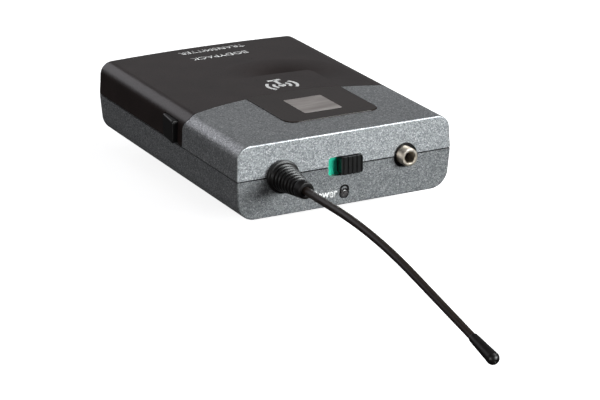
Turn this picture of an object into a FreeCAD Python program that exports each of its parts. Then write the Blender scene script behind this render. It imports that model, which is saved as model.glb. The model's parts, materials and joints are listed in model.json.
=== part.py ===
import FreeCAD, Part
import math
import os

# Wireless bodypack transmitter, millimetres.
# X runs across the pack, Y along it away from the connector end, Z out of its front.
# The origin is the centre of the flat back.

# --- driving dimensions -------------------------------------------------------------------

LENGTH = 110.0            # housing, connector end to far end
WIDTH = 76.0
DEPTH = 24.4
PARTING_Z = 13.3          # height of the seam between the back half and the front half
WALL = 1.7
INSIDE = WALL + 0.45      # where pieces behind the connector end begin
SEAM = 0.15               # gap between the halves
GROOVE_WIDTH = 0.5        # shadow groove that runs round the seam
GROOVE_DEPTH = 0.8
UPPER_DRAFT = 0.5         # how far the walls lean in, from the seam to the front
LOWER_DRAFT = 0.9         # and from the seam to the back
FRONT_EDGE_R = 4.4
BACK_EDGE_R = 6.0
FAR_RIM_R = 1.8           # rounding of the far end's corners and edges
BOW_R = 300.0             # the far end is a shallow arc
RIM_R = 0.45              # rounding of the connector end's rim

FACE_Y = -LENGTH / 2
END_Y = LENGTH / 2
SIDE_X = WIDTH / 2

COVER_ARC_APEX = 46.0     # from the connector end to the cover's edge, on the centre line
COVER_ARC_R = 80.75
COVER_SIDE = 40.2         # the cover's edge on the side wall
COVER_TURN_Z = 19.8       # where that edge starts to lean back to meet the arc
COVER_TURN_R = 3.0
COVER_LEAN = 0.75         # run along Y for each millimetre up
COVER_GAP = 0.3
COVER_TOP_WALL = 2.6

PANEL_X = 4.25            # centre of the display group, right of the pack's middle
PANEL_WIDTH = 33.7
PANEL_NEAR = 15.0         # from the connector end
PANEL_CORNER_R = 4.0
PANEL_PROUD = 0.3
PANEL_SEAT = 1.55         # below the front face
PANEL_EDGE_R = 0.2
PANEL_GAP = 0.15
GLASS_WIDTH = 16.4
GLASS_LENGTH = 18.5
GLASS_CENTRE = 29.8       # from the connector end
GLASS_THICK = 2.2

PAD_FAR = 66.8            # far edge of the raised pad on the cover, from the connector end
PAD_CORNER_R = 4.5
SCOOP_X = 10.0            # middle of the hollow behind and beside the pad
SCOOP_CENTRE = 60.0       # from the connector end
SCOOP_REACH = 25.0
SCOOP_R = 110.0           # the hollow's slope flattens out along this radius

PORT_Z = PARTING_Z        # the antenna, the switch and the jack sit on the seam
ANTENNA_X = -22.5
JACK_X = 21.4
SLOT_X = -0.1
SLOT_WIDTH = 12.0
SLOT_HEIGHT = 6.4
SLOT_CORNER_R = 1.2
LAMP_X = -0.25
LAMP_Z = 3.8

BOOT_DISC_R = 5.4
BOOT_DISC_THICK = 1.5
BOOT_LENGTH = 16.4        # outside the housing
BOOT_BASE_R = 4.5
BOOT_END_R = 2.6
BOOT_RIBS = 7
BOOT_RIB_PITCH = 1.65
BOOT_RIB_DEPTH = 0.5
FERRULE_OUT = 2.6         # the ferrule's outer end, inside the boot
WHIP_START = 4.2          # the whip's free stretch begins this far out, inside the boot
WHIP_STRAIGHT = 36.0      # it leaves the housing straight, then droops along an arc
WHIP_ARC = 46.0
WHIP_DROOP = math.radians(12.2)
WHIP_R_BOOT = 1.3
WHIP_R_TIP = 1.15
WHIP_STEPS = 18           # sections that its solids are drawn through
CORE_R = 0.45
TIP_START = 115.6         # the tip cap, measured along Y from the connector end
TIP_LENGTH = 12.9
TIP_R_NECK = 1.4
TIP_R_END = 1.9

JACK_THREAD_R = 2.96      # M6 x 0.5, the lock ring of a lavalier plug screws on here
JACK_BORE_R = 1.8         # 3.5 mm plug
JACK_OUT = 3.0
JACK_RECESS_R = 4.15
JACK_SHOULDER_R = 3.9
JACK_SHOULDER_IN = 0.9    # the shoulder's face, in from the connector end
JACK_STEM_R = 2.6         # behind the shoulder, inside the body
JACK_STEM_IN = WALL + 3.2
JACK_DEPTH = 13.0         # of the body

KNOB_WIDTH = 7.7
KNOB_TRAVEL = 3.7
KNOB_OUT = 1.0
KNOB_RIBS = 4
KNOB_LEFT = SLOT_X + SLOT_WIDTH / 2 - 0.3 - KNOB_WIDTH
TONGUE_X = KNOB_LEFT + KNOB_WIDTH / 2 + 0.9
TONGUE_HALF = 0.8

PIN_R = 0.8
PIN_PLAY = 0.05
HINGE_SETBACK = 3.9       # hinge axis, in from the far end
HINGE_Y = END_Y - HINGE_SETBACK
HINGE_Z = PARTING_Z + HINGE_SETBACK + 0.15
BARREL_R = 2.2
EYE_R = 2.6
LUG_X = 24.0
LUG_WIDTH = 5.0
HINGE_HALF = 31.0

CATCH_NEAR = 43.8         # catch button, from the connector end
CATCH_FAR = 53.8
CATCH_LOW = PARTING_Z + 0.3
CATCH_HIGH = 21.2
CATCH_FLANGE_TOP = 20.2
CATCH_OUT = 1.7           # the button's near end, out from the housing's widest part
CATCH_OUT_FAR = 0.5
CATCH_PLAY = 0.2

BOARD_Z = 8.6
BOARD_THICK = 1.2
BOARD_TOP = BOARD_Z + BOARD_THICK

CELL_R = 7.25             # AA cell
CELL_LENGTH = 50.5
CELL_X = (-21.6, -6.2)
CELL_Z = 9.65

TRAY_NEAR = 46.4          # from the connector end
TRAY_FAR = 101.8
TRAY_TOP = 16.6
TRAY_SIDE = 30.3
TRAY_WALL = 1.2
DECK_THICK = 2.2
DECK_LEFT = CELL_X[1] + CELL_R + 0.5

BUTTON_R = 2.4
BUTTON_X = 10.5
POWER_NEAR = 57.0         # button centres, from the connector end
SET_NEAR = 69.0
BUTTON_PLAY = 0.15
BUTTON_TRAVEL = 0.35
BUTTON_OUT = 1.1
ROCKER_X = 22.0
ROCKER_CENTRE = 63.0
ROCKER_WIDTH = 8.0
ROCKER_LENGTH = 15.0
ROCKER_FOOT = 5.0         # its two feet, either side of the pin
ROCKER_AXIS_Z = TRAY_TOP - DECK_THICK / 2

CLIP_WIRE_R = 1.0
CLIP_HALF = 20.0          # half the spacing of the clip's legs
CLIP_PIVOT = 16.0         # from the connector end
CLIP_PIVOT_Z = -2.9
CLIP_DROP = -5.9          # the legs' height below the back
CLIP_END = 88.0

SCREW_R = 0.95
PILOT_R = 1.0
SCREW_HEAD_R = 1.9

V = FreeCAD.Vector
X_AXIS = V(1, 0, 0)
Y_AXIS = V(0, 1, 0)
Z_AXIS = V(0, 0, 1)
BIG = 200.0


# --- helpers ------------------------------------------------------------------------------

def from_face(distance):
    """Y of a point that lies this far in from the connector end."""
    return FACE_Y + distance


def block(x0, x1, y0, y1, z0, z1):
    return Part.makeBox(x1 - x0, y1 - y0, z1 - z0, V(x0, y0, z0))


def rod(radius, start, end):
    """Round rod between two points."""
    start = V(*start)
    run = V(*end) - start
    return Part.makeCylinder(radius, run.Length, start, run)


def edges_along(shape, axis):
    """Straight edges parallel to an axis."""
    found = []
    for edge in shape.Edges:
        if not isinstance(edge.Curve, Part.Line):
            continue
        if abs(edge.tangentAt(edge.FirstParameter).dot(axis)) > 0.999:
            found.append(edge)
    return found


def rounded_block(x0, x1, y0, y1, z0, z1, radius, axis):
    """Block whose four edges along one axis are rounded."""
    shape = block(x0, x1, y0, y1, z0, z1)
    return shape.makeFillet(radius, edges_along(shape, axis))


def mirrored(shape):
    """The same piece on the other side of the pack's middle plane."""
    return shape.mirror(V(0, 0, 0), X_AXIS)


def joined(first, *others):
    """One solid from overlapping ones."""
    return first.fuse(list(others)).removeSplitter()


def group(shapes):
    return Part.makeCompound(shapes)


def turned(points):
    """Solid of revolution about Y, from (radius, y) points that run round its section."""
    corners = [V(radius, y, 0) for radius, y in points]
    section = Part.Face(Part.makePolygon(corners + corners[:1]))
    return section.revolve(V(0, 0, 0), Y_AXIS, 360)


def bent_wire(points, bend_r, wire_r):
    """Wire of straight runs joined by arcs that are tangent to both."""
    corners = [V(*point) for point in points]
    path = []
    start = corners[0]
    for before, corner, after in zip(corners, corners[1:], corners[2:]):
        back = (before - corner).normalize()
        ahead = (after - corner).normalize()
        half = back.getAngle(ahead) / 2
        reach = bend_r / math.tan(half)
        centre = corner + (back + ahead).normalize() * (bend_r / math.sin(half))
        into = corner + back * reach
        out = corner + ahead * reach
        crown = centre + (corner - centre).normalize() * bend_r
        path.append(Part.LineSegment(start, into).toShape())
        path.append(Part.Arc(into, crown, out).toShape())
        start = out
    path.append(Part.LineSegment(start, corners[-1]).toShape())
    spine = Part.Wire(path)
    section = Part.Wire(Part.makeCircle(wire_r, corners[0], corners[1] - corners[0]))
    return spine.makePipeShell([section], True, True)


# --- the housing's outer form -------------------------------------------------------------

def plan_wire(inset, z):
    """Outline seen from the front: straight sides and a bowed far end."""
    side = SIDE_X - inset
    near = FACE_Y + inset
    bow_r = BOW_R - inset
    bow_y = END_Y - BOW_R
    corner_y = bow_y + math.sqrt(bow_r ** 2 - side ** 2)
    edges = [
        Part.LineSegment(V(-side, near, z), V(side, near, z)),
        Part.LineSegment(V(side, near, z), V(side, corner_y, z)),
        Part.Arc(V(side, corner_y, z), V(0, bow_y + bow_r, z), V(-side, corner_y, z)),
        Part.LineSegment(V(-side, corner_y, z), V(-side, near, z)),
    ]
    return Part.Wire([edge.toShape() for edge in edges])


def half_body(inset, z_end, draft, edge_r):
    """Half of the housing, from the seam to its front or its back, inset all round."""
    seam_wire = plan_wire(inset, PARTING_Z)
    end_wire = plan_wire(inset + draft, z_end)
    body = Part.makeLoft([seam_wire, end_wire], True, True)
    if body.Volume < 0:
        body.reverse()
    long_edges = []
    for edge in body.Edges:
        middle = edge.CenterOfMass
        if abs(middle.z - z_end) < 0.01 and abs(middle.x) > SIDE_X / 2:
            long_edges.append(edge)
    return body.makeFillet(edge_r - inset, long_edges)


def front_half(inset):
    return half_body(inset, DEPTH - inset, UPPER_DRAFT, FRONT_EDGE_R)


def back_half(inset):
    return half_body(inset, inset, LOWER_DRAFT, BACK_EDGE_R)


def outline_edges(face):
    """A face's edges, apart from the one on the seam."""
    found = []
    for edge in face.Edges:
        if any(abs(vertex.Z - PARTING_Z) > 0.01 for vertex in edge.Vertexes):
            found.append(edge)
    return found


def with_rims(body):
    """Rounds the rims of the connector end and of the far end."""
    near = min(body.Faces, key=lambda item: item.CenterOfMass.y)
    body = body.makeFillet(RIM_R, outline_edges(near))
    far = max(body.Faces, key=lambda item: item.CenterOfMass.y)
    return body.makeFillet(FAR_RIM_R, outline_edges(far))


def seam_groove():
    """The shadow groove round the seam, and the gap between the halves."""
    z0 = PARTING_Z - GROOVE_WIDTH / 2
    outside = block(-BIG, BIG, -BIG, BIG, z0, z0 + GROOVE_WIDTH)
    core = Part.Face(plan_wire(GROOVE_DEPTH, z0)).extrude(Z_AXIS * GROOVE_WIDTH)
    far_corners = [edge for edge in edges_along(core, Z_AXIS) if edge.CenterOfMass.y > 0]
    core = core.makeFillet(FAR_RIM_R - GROOVE_DEPTH, far_corners)
    gap = block(-BIG, BIG, -BIG, BIG, PARTING_Z - SEAM / 2, PARTING_Z + SEAM / 2)
    return outside.cut(core).fuse(gap)


def cover_zone(gap):
    """Everything beyond the cover's edge: an arc in front view, upright on the sides."""
    centre_y = from_face(COVER_ARC_APEX) - COVER_ARC_R
    arc_zone = block(-BIG, BIG, centre_y, BIG, -BIG, BIG)
    arc_zone = arc_zone.cut(rod(COVER_ARC_R + gap, (0, centre_y, -BIG), (0, centre_y, BIG)))
    side_y = from_face(COVER_SIDE) + gap
    corners = [
        V(-BIG, side_y, -BIG),
        V(-BIG, side_y, COVER_TURN_Z),
        V(-BIG, side_y - COVER_LEAN * BIG, COVER_TURN_Z + BIG),
        V(-BIG, BIG * 2, COVER_TURN_Z + BIG),
        V(-BIG, BIG * 2, -BIG),
    ]
    side_zone = Part.Face(Part.makePolygon(corners + corners[:1])).extrude(X_AXIS * 2 * BIG)
    turn = [edge for edge in edges_along(side_zone, X_AXIS)
            if abs(edge.CenterOfMass.z - COVER_TURN_Z) < 0.01]
    return arc_zone.common(side_zone.makeFillet(COVER_TURN_R, turn))


# --- places shared by several pieces ------------------------------------------------------

HOUSING_SCREWS = [(sx * 31.0, from_face(8.5)) for sx in (-1, 1)]
HOUSING_SCREWS += [(sx * 29.0, from_face(35.5)) for sx in (-1, 1)]
BOARD_SCREWS = [(-12.0, from_face(9)), (11.2, from_face(9))]
BOARD_SCREWS += [(-26.0, from_face(41)), (24.0, from_face(41))]
TRAY_SCREWS = [(sx * 32.8, from_face(97)) for sx in (-1, 1)]
POST_R = 2.1
BOSS_R = 2.7


def slot_prism(gap, y0, y1):
    """The switch slot's rounded opening."""
    half_x = SLOT_WIDTH / 2 - gap
    half_z = SLOT_HEIGHT / 2 - gap
    return rounded_block(SLOT_X - half_x, SLOT_X + half_x, y0, y1,
                         PORT_Z - half_z, PORT_Z + half_z, SLOT_CORNER_R, Y_AXIS)


def face_ports():
    """Everything that is cut through the connector end."""
    y0 = FACE_Y - 5
    y1 = from_face(WALL + 2.5)
    boot_hole = rod(3.5, (ANTENNA_X, y0, PORT_Z), (ANTENNA_X, y1, PORT_Z))
    jack_hole = rod(JACK_RECESS_R, (JACK_X, y0, PORT_Z), (JACK_X, y1, PORT_Z))
    lamp_hole = rod(1.75, (LAMP_X, y0, LAMP_Z), (LAMP_X, y1, LAMP_Z))
    return slot_prism(0, y0, y1).fuse([boot_hole, jack_hole, lamp_hole])


def hinge_lug(x):
    """Eye for the hinge pin, on a stem that grows out of the back shell's far wall."""
    x0 = x - LUG_WIDTH / 2
    x1 = x + LUG_WIDTH / 2
    eye = rod(EYE_R, (x0, HINGE_Y, HINGE_Z), (x1, HINGE_Y, HINGE_Z))
    stem = block(x0, x1, HINGE_Y - EYE_R, HINGE_Y + EYE_R, PARTING_Z - 8, HINGE_Z)
    return eye.fuse(stem)


def lug_sweep(x):
    """Room that the cover leaves round a hinge lug, from shut to fully open."""
    x0 = x - LUG_WIDTH / 2 - 0.25
    x1 = x + LUG_WIDTH / 2 + 0.25
    reach = EYE_R + 0.3
    eye = rod(reach, (x0, HINGE_Y, HINGE_Z), (x1, HINGE_Y, HINGE_Z))
    below = block(x0, x1, HINGE_Y - reach, END_Y + 1, PARTING_Z - 1, HINGE_Z)
    beyond = block(x0, x1, HINGE_Y, END_Y + 1, HINGE_Z - 1, HINGE_Z + reach)
    return eye.fuse([below, beyond])


# --- housing ------------------------------------------------------------------------------

def back_shell():
    shell = with_rims(back_half(0)).cut(back_half(WALL))
    posts = []
    for x, y in BOARD_SCREWS:
        posts.append(rod(POST_R, (x, y, WALL - 0.5), (x, y, BOARD_Z - 0.05)))
    for x, y in TRAY_SCREWS:
        posts.append(rod(POST_R, (x, y, WALL - 0.5), (x, y, 9.95)))
    for x, y in HOUSING_SCREWS:
        posts.append(rod(BOSS_R, (x, y, WALL - 0.5), (x, y, PARTING_Z - SEAM / 2)))
    lugs = [hinge_lug(sx * LUG_X) for sx in (-1, 1)]
    ledges = []
    for sx in (-1, 1):
        near = from_face(CATCH_NEAR + 1)
        far = from_face(CATCH_FAR - 1)
        inner, outer = sorted((sx * (SIDE_X - WALL - 0.4), sx * (SIDE_X - WALL / 2 - 0.2)))
        ledges.append(block(inner, outer, near, far, PARTING_Z - 1.6, PARTING_Z - 0.3))
    shell = joined(shell, *posts, *lugs, *ledges, *clip_bearings())
    holes = []
    for x, y in BOARD_SCREWS + TRAY_SCREWS:
        holes.append(rod(PILOT_R, (x, y, WALL + 0.8), (x, y, PARTING_Z)))
    for x, y in HOUSING_SCREWS:
        holes.append(rod(PILOT_R + 0.15, (x, y, -1), (x, y, PARTING_Z + 1)))
        holes.append(rod(SCREW_HEAD_R + 0.3, (x, y, -1), (x, y, 2.2)))
    for sx in (-1, 1):
        ends = [(sx * (LUG_X + offset), HINGE_Y, HINGE_Z) for offset in (-4, 4)]
        holes.append(rod(PIN_R, *ends))
    return shell.cut(holes).cut(face_ports()).cut(seam_groove_below_lugs())


def seam_groove_below_lugs():
    """The seam, without the stretch where the hinge lugs and the bosses cross it."""
    keep = [hinge_lug(sx * LUG_X) for sx in (-1, 1)]
    return seam_groove().cut(keep)


def clip_bearings():
    """Two blocks on the back that the belt clip's ends plug into."""
    y0 = from_face(CLIP_PIVOT) - 3
    y1 = y0 + 6
    low = CLIP_PIVOT_Z - 2.2
    bearings = []
    for sx in (-1, 1):
        inner, outer = sorted((sx * (CLIP_HALF - 8), sx * (CLIP_HALF - CLIP_WIRE_R - 0.8)))
        bearing = block(inner, outer, y0, y1, low, WALL - 0.2)
        lower = [edge for edge in edges_along(bearing, X_AXIS) if edge.CenterOfMass.z < low + 0.1]
        bearing = bearing.makeFillet(2.0, lower)
        ends = [(x, from_face(CLIP_PIVOT), CLIP_PIVOT_Z) for x in (inner - 1, outer + 1)]
        bearings.append(bearing.cut(rod(CLIP_WIRE_R + PIN_PLAY, *ends)))
    return bearings


def panel_prism(gap, z0, z1):
    """The display window's outline: rounded near corners, far edge along the cover."""
    x0 = PANEL_X - PANEL_WIDTH / 2 + gap
    x1 = PANEL_X + PANEL_WIDTH / 2 - gap
    y0 = from_face(PANEL_NEAR) + gap
    shape = rounded_block(x0, x1, y0, y0 + 60, z0, z1, PANEL_CORNER_R, Z_AXIS)
    return shape.cut(cover_zone(-gap))


def glass_block(margin, z0, z1):
    """Block over the display glass's place, larger by a margin all round."""
    half_x = GLASS_WIDTH / 2 + margin
    half_y = GLASS_LENGTH / 2 + margin
    centre = from_face(GLASS_CENTRE)
    return block(PANEL_X - half_x, PANEL_X + half_x, centre - half_y, centre + half_y, z0, z1)


def front_shell():
    body = with_rims(front_half(0))
    shell = body.cut(front_half(WALL))
    ledge_z = DEPTH - PANEL_SEAT
    frame = rounded_block(PANEL_X - PANEL_WIDTH / 2 - 1.5, PANEL_X + PANEL_WIDTH / 2 + 1.5,
                          from_face(PANEL_NEAR - 1.5), from_face(PANEL_NEAR + 60),
                          ledge_z - 1.5, DEPTH - WALL + 0.2, PANEL_CORNER_R, Z_AXIS)
    bosses = []
    for x, y in HOUSING_SCREWS:
        bosses.append(rod(BOSS_R, (x, y, PARTING_Z + SEAM / 2), (x, y, DEPTH - WALL + 0.3)))
    shell = joined(shell, frame, *bosses).cut(cover_zone(0))
    holes = [panel_prism(0, ledge_z, DEPTH + 1), glass_block(0, ledge_z - 5, ledge_z + 1)]
    for x, y in HOUSING_SCREWS:
        holes.append(rod(PILOT_R, (x, y, PARTING_Z - 1), (x, y, PARTING_Z + 6)))
    return shell.cut(holes).cut(face_ports()).cut(seam_groove())


def pad_prism():
    """The raised pad that carries on the display's surface, with its far right corner rounded."""
    x0 = -26.0
    x1 = PANEL_X + PANEL_WIDTH / 2 + 0.6
    far = from_face(PAD_FAR)
    shape = block(x0, x1, from_face(30), far, DEPTH - 4, DEPTH + 1)
    right = [edge for edge in edges_along(shape, Z_AXIS)
             if edge.CenterOfMass.x > x1 - 0.1 and edge.CenterOfMass.y > far - 0.1]
    shape = shape.makeFillet(PAD_CORNER_R, right)
    arc_r = 190.0
    bow = rod(arc_r, (-1, far - arc_r, DEPTH - 5), (-1, far - arc_r, DEPTH + 2))
    return shape.common(bow)


def scoop():
    """Hollow behind and beside the pad, deepest in its middle, that fades into the cover's top."""
    centre_y = from_face(SCOOP_CENTRE)
    rim_z = DEPTH + 0.02
    angle = math.asin(SCOOP_REACH / SCOOP_R)
    rim_x = SCOOP_X + SCOOP_REACH
    rim = V(rim_x, centre_y, rim_z)
    middle = V(rim_x - SCOOP_R * math.sin(angle / 2), centre_y,
               rim_z - SCOOP_R * (1 - math.cos(angle / 2)))
    deepest = V(SCOOP_X, centre_y, rim_z - SCOOP_R * (1 - math.cos(angle)))
    above = V(SCOOP_X, centre_y, DEPTH + 1)
    above_rim = V(rim_x, centre_y, DEPTH + 1)
    outline = [
        Part.Arc(rim, middle, deepest).toShape(),
        Part.makeLine(deepest, above),
        Part.makeLine(above, above_rim),
        Part.makeLine(above_rim, rim),
    ]
    bowl = Part.Face(Part.Wire(outline)).revolve(V(SCOOP_X, centre_y, 0), Z_AXIS, 360)
    return bowl.cut(pad_prism())


def battery_cover():
    """Front half beyond the cover's edge, with the barrel that turns on the hinge pin."""
    outer_form = with_rims(front_half(0))
    body = outer_form.cut(scoop())
    hollow = front_half(WALL).common(block(-BIG, BIG, -BIG, BIG, 0, DEPTH - COVER_TOP_WALL))
    shell = body.cut(hollow).common(cover_zone(COVER_GAP))
    nose_r = HINGE_SETBACK + 0.05
    below_axis = block(-BIG, BIG, HINGE_Y, BIG, 0, HINGE_Z)
    round_nose = rod(nose_r, (-BIG, HINGE_Y, HINGE_Z), (BIG, HINGE_Y, HINGE_Z))
    shell = shell.cut(below_axis.cut(round_nose))
    nose = round_nose.common(below_axis).common(outer_form)
    barrel = rod(BARREL_R, (-HINGE_HALF, HINGE_Y, HINGE_Z), (HINGE_HALF, HINGE_Y, HINGE_Z))
    web = block(-HINGE_HALF, HINGE_HALF, HINGE_Y, HINGE_Y + 2, HINGE_Z - 1, HINGE_Z + BARREL_R)
    backs = []
    for sx in (-1, 1):
        inner, outer = sorted((sx * 30.7, sx * 31.6))
        backs.append(block(inner, outer, from_face(CATCH_NEAR - 1), from_face(CATCH_FAR + 1),
                           CATCH_LOW, DEPTH - COVER_TOP_WALL + 0.2))
        for end in (CATCH_NEAR - 2.9, CATCH_FAR + 1.7):
            low, high = sorted((sx * 33.4, sx * (SIDE_X - WALL + 0.3)))
            backs.append(block(low, high, from_face(end), from_face(end + 1.2),
                               CATCH_LOW, DEPTH - COVER_TOP_WALL + 0.2))
    shell = joined(shell, nose, barrel, web, *backs)
    holes = [lug_sweep(sx * LUG_X) for sx in (-1, 1)]
    holes.append(rod(PIN_R + PIN_PLAY, (-BIG, HINGE_Y, HINGE_Z), (BIG, HINGE_Y, HINGE_Z)))
    for sx in (-1, 1):
        low, high = sorted((sx * (SIDE_X - 2.6), sx * (SIDE_X + 2)))
        holes.append(block(low, high, from_face(CATCH_NEAR - CATCH_PLAY), from_face(CATCH_FAR + CATCH_PLAY),
                           PARTING_Z - 1, CATCH_HIGH + CATCH_PLAY))
    return shell.cut(holes).cut(seam_groove())


def hinge_pin():
    half = HINGE_HALF - 0.2
    return rod(PIN_R - 0.01, (-half, HINGE_Y, HINGE_Z), (half, HINGE_Y, HINGE_Z))


def catch_right():
    """Push button with a retaining flange behind the wall and a nose that reaches below the seam."""
    y0 = from_face(CATCH_NEAR)
    y1 = from_face(CATCH_FAR)
    wall_inside = SIDE_X - WALL - 0.35
    button = rounded_block(wall_inside - 0.6, SIDE_X + CATCH_OUT, y0, y1,
                           CATCH_LOW, CATCH_HIGH, 0.9, X_AXIS)
    slope = [V(SIDE_X + CATCH_OUT, y0, 0), V(SIDE_X + CATCH_OUT_FAR, y1, 0),
             V(SIDE_X + CATCH_OUT + 2, y1, 0), V(SIDE_X + CATCH_OUT + 2, y0, 0)]
    button = button.cut(Part.Face(Part.makePolygon(slope + slope[:1])).extrude(Z_AXIS * DEPTH))
    outer = max(button.Faces, key=lambda item: item.CenterOfMass.x)
    button = button.makeFillet(0.5, outer.Edges)
    flange = block(wall_inside - 1.9, wall_inside - 0.3, y0 - 1.5, y1 + 1.5, CATCH_LOW, CATCH_FLANGE_TOP)
    nose = block(wall_inside - 1.9, wall_inside - 0.5, y0 + 2.5, y1 - 2.5, PARTING_Z - 2.6, CATCH_LOW + 1)
    return joined(button, flange, nose)


def catch_spring_right():
    """Bowed leaf between the cover's inner rib and the catch."""
    inner = 31.6
    outer = SIDE_X - WALL - 0.35 - 1.9
    middle_y = from_face((CATCH_NEAR + CATCH_FAR) / 2)
    thick = 0.25
    reach = 5.6
    z0 = CATCH_LOW + 1.6
    low_x = inner + 0.05
    high_x = outer - 0.1
    foot_a = V(low_x, middle_y - reach, z0)
    foot_b = V(low_x, middle_y + reach, z0)
    under_a = V(low_x, middle_y - reach + thick * 2, z0)
    under_b = V(low_x, middle_y + reach - thick * 2, z0)
    edges = [
        Part.Arc(foot_a, V(high_x, middle_y, z0), foot_b).toShape(),
        Part.makeLine(foot_b, under_b),
        Part.Arc(under_b, V(high_x - thick, middle_y, z0), under_a).toShape(),
        Part.makeLine(under_a, foot_a),
    ]
    return Part.Face(Part.Wire(edges)).extrude(Z_AXIS * 2.6)


# --- display ------------------------------------------------------------------------------

def display_window():
    window = panel_prism(PANEL_GAP, DEPTH - PANEL_SEAT, DEPTH + PANEL_PROUD)
    top = max(window.Faces, key=lambda item: item.CenterOfMass.z)
    return window.makeFillet(PANEL_EDGE_R, top.Edges)


def display_glass():
    """The display's own glass, up in the shell's opening."""
    top = DEPTH - PANEL_SEAT - 0.1
    return glass_block(-0.2, top - GLASS_THICK, top)


def display_frame():
    """Tray that holds the glass from below."""
    glass_low = DEPTH - PANEL_SEAT - 0.1 - GLASS_THICK
    shell_under = DEPTH - PANEL_SEAT - 1.6
    frame = glass_block(2.0, glass_low - 1.6, shell_under)
    return frame.cut(glass_block(-0.1, glass_low, shell_under + 1))


def display_cable():
    """Flat cable from the display down to the board."""
    width = 9.0
    thick = 0.2
    near = from_face(GLASS_CENTRE - GLASS_LENGTH / 2 - 3.2)
    high = DEPTH - PANEL_SEAT - 3.0
    left = PANEL_X - width / 2
    right = PANEL_X + width / 2
    drop = block(left, right, near, near + thick, BOARD_TOP, high)
    tail = block(left, right, near, near + 1.2, high - thick, high)
    foot = block(left, right, near - 3.0, near + thick, BOARD_TOP, BOARD_TOP + thick)
    return joined(drop, tail, foot)


# --- electronics --------------------------------------------------------------------------

def main_board():
    """Circuit board: full width under the display, and a leg under the buttons."""
    near = from_face(WALL + 0.9)
    wide = block(-33.5, 33.5, near, from_face(46), BOARD_Z, BOARD_TOP)
    leg = block(4.8, 27.8, from_face(45), from_face(80), BOARD_Z, BOARD_TOP)
    board = joined(wide, leg)
    holes = [block(ANTENNA_X - 5, ANTENNA_X + 5, FACE_Y, from_face(3.9), 0, DEPTH)]
    for x, y in HOUSING_SCREWS:
        holes.append(rod(BOSS_R + 0.3, (x, y, 0), (x, y, DEPTH)))
    for x, y in BOARD_SCREWS:
        holes.append(rod(PILOT_R + 0.1, (x, y, 0), (x, y, DEPTH)))
    return board.cut(holes)


def board_chips():
    """Packaged chips on the board's front."""
    places = [(-5.5, 21.0, 8.0, 8.0, 1.2), (17.5, 27.0, 7.0, 7.0, 1.0), (2.5, 34.0, 6.0, 4.0, 1.6),
              (13.0, 38.0, 5.0, 4.0, 1.2), (-6.0, 40.0, 4.0, 6.0, 1.8)]
    chips = []
    for x, y, width, length, height in places:
        chips.append(block(x - width / 2, x + width / 2,
                           from_face(y - length / 2), from_face(y + length / 2),
                           BOARD_TOP, BOARD_TOP + height))
    return group(chips)


def radio_shield():
    """Folded metal can over the transmitter stage."""
    x0, x1 = -31.0, -11.0
    y0, y1 = from_face(13.5), from_face(31.0)
    thick = 0.3
    can = block(x0, x1, y0, y1, BOARD_TOP, BOARD_TOP + 3.4)
    hollow = block(x0 + thick, x1 - thick, y0 + thick, y1 - thick, BOARD_TOP - 1, BOARD_TOP + 3.4 - thick)
    return can.cut(hollow)


def screw(x, y, seat_z, length, direction):
    """Pan-head screw with a cross recess; direction is the way it is driven."""
    head_h = 1.25
    head = rod(SCREW_HEAD_R, (x, y, seat_z), (x, y, seat_z - direction * head_h))
    rim = [edge for edge in head.Edges if abs(edge.CenterOfMass.z - (seat_z - direction * head_h)) < 0.01]
    head = head.makeFillet(0.5, rim)
    shank = rod(SCREW_R, (x, y, seat_z - direction * 0.2), (x, y, seat_z + direction * length))
    crown = seat_z - direction * head_h
    low, high = sorted((crown - direction, crown + direction * 0.7))
    slots = [block(x - 1.1, x + 1.1, y - 0.2, y + 0.2, low, high),
             block(x - 0.2, x + 0.2, y - 1.1, y + 1.1, low, high)]
    return head.fuse(shank).cut(slots)


def housing_screws():
    return group([screw(x, y, 2.2, 14.5, 1) for x, y in HOUSING_SCREWS])


def board_screws():
    return group([screw(x, y, BOARD_TOP, 6.0, -1) for x, y in BOARD_SCREWS])


def tray_screws():
    return group([screw(x, y, 11.4, 6.0, -1) for x, y in TRAY_SCREWS])


def tact_switches():
    """Four small push switches on the board's leg."""
    places = [(BUTTON_X, from_face(POWER_NEAR)), (BUTTON_X, from_face(SET_NEAR)),
              (ROCKER_X, from_face(ROCKER_CENTRE - ROCKER_FOOT)),
              (ROCKER_X, from_face(ROCKER_CENTRE + ROCKER_FOOT))]
    height = TRAY_TOP - DECK_THICK - 1.1 - BOARD_TOP - BUTTON_TRAVEL - 0.05
    switches = []
    for x, y in places:
        body = block(x - 2.2, x + 2.2, y - 2.2, y + 2.2, BOARD_TOP, BOARD_TOP + height - 0.5)
        plunger = rod(1.1, (x, y, BOARD_TOP + 0.5), (x, y, BOARD_TOP + height))
        switches.append(body.fuse(plunger))
    return group(switches)


# --- battery compartment ------------------------------------------------------------------

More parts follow.
